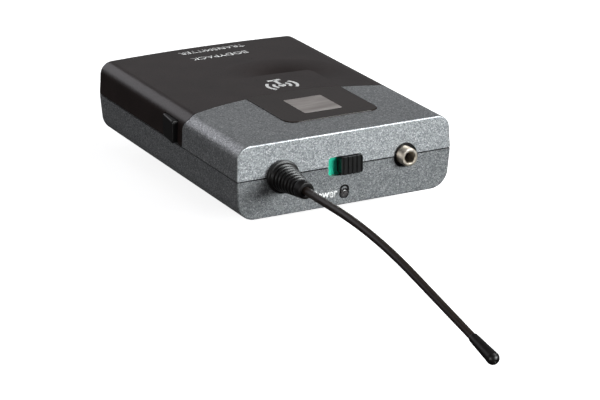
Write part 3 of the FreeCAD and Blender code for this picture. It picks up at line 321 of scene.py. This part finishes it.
FINISHES = {
    "shell_grey": flake_paint("shell_grey"),
    "cover_black": moulded("cover_black", (0.0155, 0.0105, 0.0095), (0.032, 0.0225, 0.0205), 0.29),
    "window_black": smoked("window_black", (0.018, 0.0125, 0.010), (0.028, 0.020, 0.017), 0.14,
                           Specular_IOR_Level=0.3),
    "display_glass": liquid_crystal("display_glass"),
    "dark_plastic": moulded("dark_plastic", (0.004, 0.004, 0.004), (0.013, 0.0125, 0.0125), 0.36, 3200),
    "tray_plastic": moulded("tray_plastic", (0.035, 0.035, 0.037), (0.06, 0.06, 0.063), 0.5, 2000),
    "black_rubber": rubber("black_rubber", (0.0035, 0.003, 0.003), (0.013, 0.011, 0.0105), 0.33),
    "whip_jacket": rubber("whip_jacket", (0.016, 0.0105, 0.008), (0.034, 0.023, 0.018), 0.36),
    "nickel": metal("nickel", (0.50, 0.43, 0.33), (0.92, 0.86, 0.77), 0.4, (500, 9000, 500)),
    "spring_steel": metal("spring_steel", (0.34, 0.34, 0.35), (0.62, 0.62, 0.63), 0.24, (3000, 300, 3000)),
    "screw_steel": metal("screw_steel", (0.07, 0.07, 0.075), (0.2, 0.2, 0.21), 0.35, (1500, 1500, 1500)),
    "contact_metal": metal("contact_metal", (0.52, 0.45, 0.30), (0.78, 0.72, 0.56), 0.26, (2500, 300, 2500)),
    "brass": metal("brass", (0.58, 0.40, 0.15), (0.84, 0.66, 0.34), 0.24, (500, 5000, 500)),
    "board_green": board("board_green"),
    "chip_black": moulded("chip_black", (0.012, 0.012, 0.013), (0.032, 0.032, 0.034), 0.55, 4200),
    "shield_tin": metal("shield_tin", (0.45, 0.45, 0.44), (0.68, 0.68, 0.66), 0.3, (200, 4000, 200)),
    "cell_sleeve": sleeve("cell_sleeve"),
    "button_grey": moulded("button_grey", (0.16, 0.16, 0.165), (0.23, 0.23, 0.235), 0.42),
    "indicator_green": moulded("indicator_green", (0.012, 0.56, 0.33), (0.03, 0.80, 0.52), 0.35, 1800),
    "lens_smoke": lens("lens_smoke"),
    "lamp": moulded("lamp", (0.62, 0.55, 0.36), (0.86, 0.80, 0.62), 0.3),
    "cable_amber": film("cable_amber"),
}
WHITE_INK = printed("white_ink", (0.86, 0.86, 0.85), (0.62, 0.62, 0.61)).material

for row in frame["record"]["subparts"]:
    finish = FINISHES[row["material_slot"]].material
    for held in nodes[row["node"]].material_slots:
        held.material = finish


# --- mesh helpers --------------------------------------------------------------------------

LEAST_TURN = math.radians(8)        # a corner that turns less than this stays sharp
SIDE_SHARE = 0.45                   # most of a side that one rounded corner takes
INK_THICK = 0.03 * MM


def piece(name, mesh, slot_name, material=None):
    """An object of this mesh, in its slot's finish unless another material is named."""
    made = bpy.data.objects.new(name, mesh)
    scene.collection.objects.link(made)
    mesh.materials.clear()
    mesh.materials.append(material or FINISHES[slot_name].material)
    return made


def smooth(made, angle=35):
    """Smooth shading that keeps every edge sharper than the angle."""
    for face in made.data.polygons:
        face.use_smooth = True
    split = made.modifiers.new("edges", "EDGE_SPLIT")
    split.split_angle = math.radians(angle)
    return made


def eased(points, radius, steps=4, closed=False):
    """The same outline with each corner rounded, less where its sides are short."""
    flat = [Vector(point) for point in points]
    count = len(flat)
    result = []
    for index, corner in enumerate(flat):
        if not closed and index in (0, count - 1):
            result.append(corner)
            continue
        back = flat[index - 1] - corner
        ahead = flat[(index + 1) % count] - corner
        turn = math.pi - back.angle(ahead)
        if turn < LEAST_TURN:
            result.append(corner)
            continue
        reach = min(radius * math.tan(turn / 2), back.length * SIDE_SHARE, ahead.length * SIDE_SHARE)
        start = corner + back.normalized() * reach
        end = corner + ahead.normalized() * reach
        for step in range(steps + 1):
            share = step / steps
            result.append((start * (1 - share) + corner * share) * (1 - share)
                          + (corner * (1 - share) + end * share) * share)
    return [(point.x, point.y) for point in result]


def lathed(profile, segments=96):
    """Mesh turned about the Y axis from (radius, y) points in metres; radius 0 closes it."""
    mesh = bmesh.new()
    rings = []
    for radius, y in profile:
        if not radius:
            rings.append([mesh.verts.new((0, y, 0))])
            continue
        ring = []
        for step in range(segments):
            angle = 2 * math.pi * step / segments
            ring.append(mesh.verts.new((radius * math.cos(angle), y, radius * math.sin(angle))))
        rings.append(ring)
    pairs = list(zip(rings, rings[1:]))
    if len(rings[0]) > 1 and len(rings[-1]) > 1:
        pairs.append((rings[-1], rings[0]))
    for first, second in pairs:
        for step in range(segments):
            following = (step + 1) % segments
            corners = [first[step % len(first)], first[following % len(first)],
                       second[following % len(second)], second[step % len(second)]]
            unique = list(dict.fromkeys(corners))
            if len(unique) > 2:
                mesh.faces.new(unique)
    bmesh.ops.recalc_face_normals(mesh, faces=mesh.faces)
    made = bpy.data.meshes.new("lathed")
    mesh.to_mesh(made)
    mesh.free()
    return made


def prism(outline, low, high):
    """Plate between two heights from an (x, y) outline."""
    mesh = bmesh.new()
    bottom, top = [[mesh.verts.new((x, y, z)) for x, y in outline] for z in (low, high)]
    for index in range(len(outline)):
        after = (index + 1) % len(outline)
        mesh.faces.new((bottom[index], bottom[after], top[after], top[index]))
    mesh.faces.new(top)
    mesh.faces.new(reversed(bottom))
    bmesh.ops.recalc_face_normals(mesh, faces=mesh.faces)
    made = bpy.data.meshes.new("prism")
    mesh.to_mesh(made)
    mesh.free()
    return made


def joined_mesh(meshes):
    """One mesh from several."""
    whole = bmesh.new()
    for item in meshes:
        whole.from_mesh(item)
        bpy.data.meshes.remove(item)
    made = bpy.data.meshes.new("joined")
    whole.to_mesh(made)
    whole.free()
    return made


def lettering(text, width, weight=0.012):
    """Mesh of a word, centred on the origin in XY and as wide as asked; weight thickens its strokes."""
    font = bpy.data.curves.new("lettering", "FONT")
    font.body = text
    font.align_x = "CENTER"
    font.align_y = "CENTER"
    font.offset = weight
    font.resolution_u = 6
    holder = bpy.data.objects.new("lettering", font)
    scene.collection.objects.link(holder)
    bpy.context.view_layer.update()
    graph = bpy.context.evaluated_depsgraph_get()
    made = bpy.data.meshes.new_from_object(holder.evaluated_get(graph))
    bpy.data.objects.remove(holder)
    span = [vertex.co.x for vertex in made.vertices]
    height = [vertex.co.y for vertex in made.vertices]
    scale = width / (max(span) - min(span))
    shift = Vector((-(max(span) + min(span)) / 2, -(max(height) + min(height)) / 2, 0))
    made.transform(Matrix.Scale(scale, 4) @ Matrix.Translation(shift))
    return thickened(made)


def thickened(flat):
    """A flat mesh given the thickness of ink, upwards from where it lies."""
    mesh = bmesh.new()
    mesh.from_mesh(flat)
    bmesh.ops.remove_doubles(mesh, verts=mesh.verts, dist=1e-7)
    bmesh.ops.dissolve_limit(mesh, angle_limit=0.01, verts=mesh.verts, edges=mesh.edges)
    raised = bmesh.ops.extrude_face_region(mesh, geom=list(mesh.faces))
    moved = [item for item in raised["geom"] if isinstance(item, bmesh.types.BMVert)]
    bmesh.ops.translate(mesh, verts=moved, vec=(0, 0, INK_THICK))
    bmesh.ops.recalc_face_normals(mesh, faces=mesh.faces)
    mesh.to_mesh(flat)
    mesh.free()
    return flat


def ribbon(points, width, closed=False):
    """Printed strip of even width along (x, y) points."""
    mesh = bmesh.new()
    flat = [Vector(point) for point in points]
    count = len(flat)
    pairs = []
    for index, point in enumerate(flat):
        before = flat[index - 1] if closed or index else point
        after = flat[(index + 1) % count] if closed or index < count - 1 else point
        ahead = (after - before).normalized()
        side = Vector((-ahead.y, ahead.x)) * width / 2
        pairs.append([mesh.verts.new((*(point + side), 0)), mesh.verts.new((*(point - side), 0))])
    last = count if closed else count - 1
    for index in range(last):
        first, second = pairs[index], pairs[(index + 1) % count]
        mesh.faces.new((first[0], first[1], second[1], second[0]))
    made = bpy.data.meshes.new("ribbon")
    mesh.to_mesh(made)
    mesh.free()
    return thickened(made)


def arc(centre, radius, start, end, steps=24):
    """Points on an arc, angles in degrees."""
    points = []
    for step in range(steps + 1):
        angle = math.radians(start + (end - start) * step / steps)
        points.append((centre[0] + radius * math.cos(angle), centre[1] + radius * math.sin(angle)))
    return points


def placed(mesh, matrix):
    """The mesh, moved into place."""
    mesh.transform(matrix)
    return mesh


# --- antenna -------------------------------------------------------------------------------

BOOT_BORE_R = 1.42
BOOT_DISC_R = 5.4
BOOT_BACK = 0.02                    # gap between the disc and the connector end
BOOT_RIBS = 7
RIB_PITCH = 1.65
RIB_DEPTH = 0.85
CONE_START = 2.4
CONE_START_R = 4.5
CONE_END = 16.4
CONE_END_R = 2.6


def cone_r(out):
    """Radius of the boot over its ribs."""
    return CONE_START_R + (CONE_END_R - CONE_START_R) * (out - CONE_START) / (CONE_END - CONE_START)


def boot_profile():
    """(radius, distance out from the connector end) in millimetres, round the section."""
    points = [(BOOT_BORE_R, BOOT_BACK), (3.38, BOOT_BACK), (BOOT_DISC_R, BOOT_BACK), (BOOT_DISC_R, 1.5),
              (4.7, 1.65), (CONE_START_R, 2.2)]
    for rib in range(BOOT_RIBS):
        out = CONE_START + rib * RIB_PITCH
        points += [(cone_r(out), out + 0.1), (cone_r(out) - RIB_DEPTH, out + 0.35),
                   (cone_r(out + 0.9) - RIB_DEPTH, out + 0.85), (cone_r(out + 1.0), out + 1.1)]
    last = CONE_START + BOOT_RIBS * RIB_PITCH
    points += [(cone_r(last) + 0.12, last + 0.1), (2.72, CONE_END - 0.5), (CONE_END_R, CONE_END),
               (BOOT_BORE_R, CONE_END)]
    return points


profile = eased(boot_profile(), 0.26, 4, closed=True)
boot_mesh = lathed([(radius * MM, FACE_Y - out * MM) for radius, out in profile], 112)
boot = piece("boot", placed(boot_mesh, Matrix.Translation((ANTENNA_X, 0, PORT_Z))), "black_rubber")
smooth(boot, 60)
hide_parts("antenna_boot")
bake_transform(boot)

WHIP_STRAIGHT = 36.0
WHIP_ARC = 46.0
WHIP_DROOP = math.radians(12.2)
TIP_START = 115.6


def whip_point(out):
    """Point on the antenna's centre line, and its slope, at a distance out in millimetres."""
    drop_r = WHIP_ARC / math.sin(WHIP_DROOP)
    run = max(out - WHIP_STRAIGHT, 0.0)
    slope = math.asin(min(run, WHIP_ARC) / drop_r)
    drop = drop_r * (1 - math.cos(slope)) + max(run - WHIP_ARC, 0.0) * math.tan(slope)
    return Vector((ANTENNA_X, FACE_Y - out * MM, PORT_Z - drop * MM)), slope


TIP_R = 1.9
TIP_DOME_START = 11.0

tip_profile = [(0.0, 0.3), (1.15, 0.3), (1.25, 0.0), (1.42, 0.35), (1.52, 2.2), (1.86, 10.2),
               (TIP_R, TIP_DOME_START)]
for step in range(1, 8):
    lean = math.radians(step * 11)
    tip_profile.append((TIP_R * math.cos(lean), TIP_DOME_START + TIP_R * math.sin(lean)))
tip_profile += [(0.42, 12.62), (0.28, 12.5), (0.0, 12.46)]
tip_mesh = lathed([(radius * MM, -out * MM) for radius, out in eased(tip_profile, 0.2, 3)], 64)
tip_at, tip_slope = whip_point(TIP_START)
tip_turn = Matrix.Translation(tip_at) @ Matrix.Rotation(tip_slope, 4, "X")
tip = smooth(piece("tip", placed(tip_mesh, tip_turn), "black_rubber"), 50)
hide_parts("antenna_tip")
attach(tip, "antenna")


# --- microphone jack -----------------------------------------------------------------------

JACK_BORE_R = 1.8
JACK_STEM_R = 2.6
JACK_SHOULDER_R = 3.9
THREAD_R = 2.96
THREAD_ROOT_R = 2.82
THREAD_PITCH = 0.5
THREAD_START = 2.7
THREAD_END = -0.6


def jack_profile():
    """Bushing's section: mouth, thread, shoulder, stem and bore."""
    points = [(JACK_BORE_R, -2.78), (2.02, -3.0), (2.66, -3.0), (2.92, -2.76)]
    out = THREAD_START
    while out > THREAD_END:
        points += [(THREAD_R, -out), (THREAD_R, -out + 0.12), (THREAD_ROOT_R, -out + 0.25),
                   (THREAD_ROOT_R, -out + 0.33)]
        out -= THREAD_PITCH
    points += [(THREAD_ROOT_R, 0.88), (JACK_SHOULDER_R, 0.9), (JACK_SHOULDER_R, 2.1), (JACK_STEM_R, 2.1),
               (JACK_STEM_R, 4.9), (JACK_BORE_R, 4.9)]
    return points


def jack_ring(name, section, slot_name):
    """Turned piece on the jack's axis from (radius, distance in from the connector end) points."""
    mesh = lathed([(radius * MM, from_face(inward)) for radius, inward in section])
    made = piece(name, placed(mesh, Matrix.Translation((JACK_X, 0, PORT_Z))), slot_name)
    return smooth(made, 40)


jack = jack_ring("jack", eased(jack_profile(), 0.06, 2, closed=True), "nickel")
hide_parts("jack_bushing")
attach(jack, "housing")

# Painted shade: a black ring laid in the jack's recess in front of the shoulder, where the recess is in
# shadow.
recess_shade_section = [(3.02, 0.5), (4.02, 0.5), (4.02, 0.86), (3.02, 0.86)]
recess_shade = jack_ring("jack_recess_shade", eased(recess_shade_section, 0.1, 3, closed=True), "black_rubber")
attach(recess_shade, "housing")


# --- seam, with painted shade in its groove ------------------------------------------------

# The dark strips below are painted shade: dark sheets laid in the seam's groove, where there is only the
# groove's shadow.
SEAM_SHADE_HALF = 0.24
SEAM_SHADE_OUTER = 0.25                   # the strip's outer edge, in from the connector end
SEAM_SHADE_INNER = 0.75
SEAM_SHADE_FAR = 39.5
SEAM_SHADE_SIDE_X = 37.7
SEAM_SHADE_SIDE_WIDTH = 0.45
ANTENNA_CLEAR = 5.5                 # half widths of the ports that break the strip
SLIDE_CLEAR = 6.15
JACK_CLEAR = 4.3


def rectangle(x0, x1, y0, y1):
    """Corners in millimetres, the second pair measured in from the connector end."""
    return [(x0, y0), (x1, y0), (x1, y1), (x0, y1)]


def from_face_outline(points):
    """The same outline in metres and in the frame."""
    return [(x * MM, from_face(y)) for x, y in points]


def strip(x0, x1, y0, y1):
    """Dark strip in the seam's groove: painted shade, standing in for the shadow inside the groove."""
    outline = from_face_outline(rectangle(x0, x1, y0, y1))
    return prism(outline, PORT_Z - SEAM_SHADE_HALF * MM, PORT_Z + SEAM_SHADE_HALF * MM)


ports = [(ANTENNA_X / MM, ANTENNA_CLEAR), (centre_of("mute_indicator").x / MM, SLIDE_CLEAR),
         (JACK_X / MM, JACK_CLEAR)]
starts = [-SEAM_SHADE_SIDE_X] + [x + half for x, half in ports]
ends = [x - half for x, half in ports] + [SEAM_SHADE_SIDE_X]
# Painted shade along the seam, broken where the ports stand.
seam_shade_parts = [strip(x0, x1, SEAM_SHADE_OUTER, SEAM_SHADE_INNER) for x0, x1 in zip(starts, ends)]
seam_shade_parts.append(strip(-SEAM_SHADE_SIDE_X, SEAM_SHADE_SIDE_WIDTH - SEAM_SHADE_SIDE_X, SEAM_SHADE_INNER, SEAM_SHADE_FAR))
seam_shade_parts.append(strip(SEAM_SHADE_SIDE_X - SEAM_SHADE_SIDE_WIDTH, SEAM_SHADE_SIDE_X, SEAM_SHADE_INNER, SEAM_SHADE_FAR))
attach(piece("seam_shade_strip", joined_mesh(seam_shade_parts), "black_rubber"), "housing")


# --- display -------------------------------------------------------------------------------

VIEW_X = (-3.0, 10.6)
VIEW_Y = (22.0, 37.4)
VIEW_THICK = 0.2
VIEW_PROUD = 0.02                   # above the window, so that it shows

view_outline = from_face_outline(eased(rectangle(*VIEW_X, *VIEW_Y), 0.5, 4, closed=True))
view_top = WINDOW_TOP + VIEW_PROUD * MM
view = piece("display_view", prism(view_outline, view_top - VIEW_THICK * MM, view_top), "display_glass")
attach(view, "housing")


# --- printing ------------------------------------------------------------------------------

PRINT_Z = FRONT_Z - 0.01 * MM
LABEL_X = -7.1
LABEL_Z = 4.5
LABEL_WIDTH = 8.7
LABEL_STRETCH = 1.3                 # its letters are taller than the font's
FACE_SET_BACK = 0.9                 # of the connector end's lower edge
FACE_LEAN = math.atan2(FACE_SET_BACK, PORT_Z / MM)

for name, text, y, width, x in (("legend_one", "BODYPACK", 95.0, 21.0, 1.9),
                                ("legend_two", "TRANSMITTER", 103.0, 24.4, 2.7)):
    word = lettering(text, width * MM)
    turned = Matrix.Translation((x * MM, from_face(y), PRINT_Z)) @ Matrix.Rotation(math.pi, 4, "Z")
    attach(piece(name, placed(word, turned), "cover_black", WHITE_INK), "cover")


def on_face(x_mm, z_mm, out_mm):
    """Frame on the connector end below the seam, its Z pointing out of it."""
    z = z_mm * MM
    y = FACE_Y + (PORT_Z - z) * math.tan(FACE_LEAN) - out_mm * MM
    return Matrix.Translation((x_mm * MM, y, z)) @ Matrix.Rotation(math.pi / 2 + FACE_LEAN, 4, "X")


label_turn = on_face(LABEL_X, LABEL_Z, 0.02) @ Matrix.Diagonal((1.0, LABEL_STRETCH, 1.0, 1.0))
label = lettering("Power", LABEL_WIDTH * MM, weight=0.03)
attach(piece("lamp_legend", placed(label, label_turn), "shell_grey", WHITE_INK), "housing")

ICON_AT = (5.0 * MM, from_face(55.0))
ICON_SIZE = 1.45
MAST_FOOT = -3.4 * MM
MAST_TOP = 0.6 * MM
FOOT_HALF = 1.6 * MM
MAST_WIDTH = 0.8 * MM
WAVE_CENTRE = (0.0, 0.9 * MM)
WAVE_WIDTH = 0.75 * MM
WAVE_HALF = 42                      # degrees on each side of level
DOT_R = 0.45 * MM
DOT_WIDTH = 0.9 * MM

icon = [ribbon([(0, MAST_FOOT), (0, MAST_TOP)], MAST_WIDTH),
        ribbon([(-FOOT_HALF, MAST_FOOT), (FOOT_HALF, MAST_FOOT)], MAST_WIDTH)]
for radius in (1.9, 3.5):
    for start in (-WAVE_HALF, 180 - WAVE_HALF):
        icon.append(ribbon(arc(WAVE_CENTRE, radius * MM, start, start + 2 * WAVE_HALF), WAVE_WIDTH))
icon.append(ribbon(arc(WAVE_CENTRE, DOT_R, 0, 345), DOT_WIDTH, closed=True))
icon_turn = Matrix.Translation((*ICON_AT, PRINT_Z)) @ Matrix.Rotation(math.pi, 4, "Z")
icon_mesh = placed(joined_mesh(icon), icon_turn @ Matrix.Scale(ICON_SIZE, 4))
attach(piece("antenna_icon", icon_mesh, "cover_black", WHITE_INK), "cover")


# --- power lamp ----------------------------------------------------------------------------

# Painted shade: the black ring fills the lamp's hole round the lens, where there is only the hole's shadow.
ring_section = [(1.05, -0.25), (1.73, -0.25), (1.73, 0.0), (1.6, 0.14), (1.25, 0.14), (1.05, 0.0)]
ring_outline = eased(ring_section, 0.08, 3, closed=True)
ring_mesh = lathed([(radius * MM, out * MM) for radius, out in ring_outline], 64)
ring_turn = on_face(LAMP.x / MM, LAMP.z / MM, 0.0) @ Matrix.Rotation(math.pi / 2, 4, "X")
ring = smooth(piece("lamp_ring", placed(ring_mesh, ring_turn), "black_rubber"), 40)
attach(ring, "housing")


# --- catch springs -------------------------------------------------------------------------

LEAF_STEPS = 24
LEAF_THICK = 0.25 * MM


def leaf_outline(foot, crown, half):
    """(x, y) outline of a bowed leaf whose ends stand on one side and whose middle on the other."""
    outer = []
    inner = []
    for step in range(LEAF_STEPS + 1):
        share = 2 * step / LEAF_STEPS - 1
        lift = (crown - foot) * (1 - share ** 2)
        outer.append((foot + lift, share * half))
        inner.append((foot + max(lift - LEAF_THICK, 0.0), share * (half - LEAF_THICK)))
    return outer + inner[::-1]


for side, name, joint in ((-1, "catch_spring_left", "left_catch_push"),
                          (1, "catch_spring_right", "right_catch_push")):
    low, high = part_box(name)
    middle = (low + high) / 2
    near, far = sorted((abs(low.x), abs(high.x)))
    leaf = leaf_outline(near, far, (high.y - low.y) / 2)
    leaf_mesh = prism([(side * x, middle.y + y) for x, y in leaf], low.z, high.z)
    spring = smooth(piece(name.replace("catch_spring", "catch_leaf"), leaf_mesh, "contact_metal"), 40)
    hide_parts(name)
    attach(spring, "cover")
    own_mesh(spring)


# --- room, light and camera ----------------------------------------------------------------

FLOOR_R = 6.0
FLOOR_GAP = 0.1 * MM                # under the belt clip


def floor():
    """Pale ground that glows a little, so that it is white round the pack's shadow."""
    mesh = bmesh.new()
    bmesh.ops.create_circle(mesh, cap_ends=True, segments=96, radius=FLOOR_R)
    data = bpy.data.meshes.new("floor")
    mesh.to_mesh(data)
    mesh.free()
    made = bpy.data.objects.new("floor", data)
    made.location.z = FLOOR_Z - FLOOR_GAP
    scene.collection.objects.link(made)
    finish = Finish("floor", Base_Color=(0.82, 0.82, 0.82), Roughness=0.9, Specular_IOR_Level=0.0,
                    Emission_Color=(1.0, 1.0, 1.0), Emission_Strength=0.84)
    data.materials.append(finish.material)
    made.visible_glossy = False
    made.visible_diffuse = False


def lamp(name, place, aim, size, power, colour=(1.0, 1.0, 1.0)):
    """Rectangular area light at a place in metres, turned towards aim."""
    data = bpy.data.lights.new(name, "AREA")
    data.shape = "RECTANGLE"
    data.size, data.size_y = size
    data.energy = power
    data.color = colour
    made = bpy.data.objects.new(name, data)
    made.location = place
    made.rotation_euler = (Vector(aim) - Vector(place)).to_track_quat("-Z", "Y").to_euler()
    scene.collection.objects.link(made)


def surroundings():
    """White to the camera; to all else a dark room, with a pale band above the horizon and a pale ceiling."""
    world = bpy.data.worlds.new("room")
    scene.world = world
    world.use_nodes = True
    tree = world.node_tree
    tree.nodes.clear()
    place = tree.nodes.new("ShaderNodeTexCoord")
    split = tree.nodes.new("ShaderNodeSeparateXYZ")
    spread = tree.nodes.new("ShaderNodeMapRange")
    spread.inputs["From Min"].default_value = -1.0
    ramp = tree.nodes.new("ShaderNodeValToRGB")
    points = ramp.color_ramp.elements
    stops = [(0.0, 0.025), (0.49, 0.025), (0.53, 0.2), (0.69, 0.25), (0.75, 0.04), (0.92, 0.05), (1.0, 0.3)]
    while len(points) < len(stops):
        points.new(0.5)
    for point, (position, level) in zip(points, stops):
        point.position = position
        point.color = (level, level, level * 1.03, 1.0)
    path = tree.nodes.new("ShaderNodeLightPath")
    choice = tree.nodes.new("ShaderNodeMix")
    choice.data_type = "RGBA"
    choice.inputs[7].default_value = (1.0, 1.0, 1.0, 1.0)
    back = tree.nodes.new("ShaderNodeBackground")
    out = tree.nodes.new("ShaderNodeOutputWorld")
    for output, target in ((place.outputs["Generated"], split.inputs["Vector"]),
                           (split.outputs["Z"], spread.inputs["Value"]),
                           (spread.outputs["Result"], ramp.inputs["Fac"]),
                           (path.outputs["Is Camera Ray"], choice.inputs[0]),
                           (ramp.outputs["Color"], choice.inputs[6]),
                           (choice.outputs[2], back.inputs["Color"]),
                           (back.outputs["Background"], out.inputs["Surface"])):
        tree.links.new(output, target)


floor()
surroundings()
lamp("key", (0.62, -1.15, 0.42), (0, -0.05, 0.01), (0.7, 0.5), 20.5, (0.95, 0.995, 1.0))
lamp("overhead", (0.56, -0.4, 1.07), (0, 0, 0), (0.45, 0.45), 5.0)
lamp("rim", (-0.8, -0.42, 0.07), (0, -0.05, 0.01), (0.25, 0.4), 2.4)
lamp("shoulder", (-0.35, 0.9, 0.45), (0, 0, 0.02), (1.0, 0.5), 1.6, (0.96, 0.95, 1.0))

CAMERA_AT = (-0.37986, -0.75902, 0.28153)
CAMERA_RIGHT = Vector((0.8881, -0.4597, -0.0026))
CAMERA_UP = Vector((0.1540, 0.2921, 0.9439))
CAMERA_LENS = 161.3

camera_data = bpy.data.cameras.new("camera")
camera_data.lens = CAMERA_LENS
camera_data.sensor_width = 36.0
camera_data.clip_start = 0.02
camera = bpy.data.objects.new("camera", camera_data)
turn = Matrix((CAMERA_RIGHT, CAMERA_UP, CAMERA_RIGHT.cross(CAMERA_UP))).transposed()
camera.matrix_world = Matrix.Translation(CAMERA_AT) @ turn.to_4x4()
scene.collection.objects.link(camera)
scene.camera = camera
scene.view_settings.view_transform = "Standard"
scene.view_settings.look = "None"
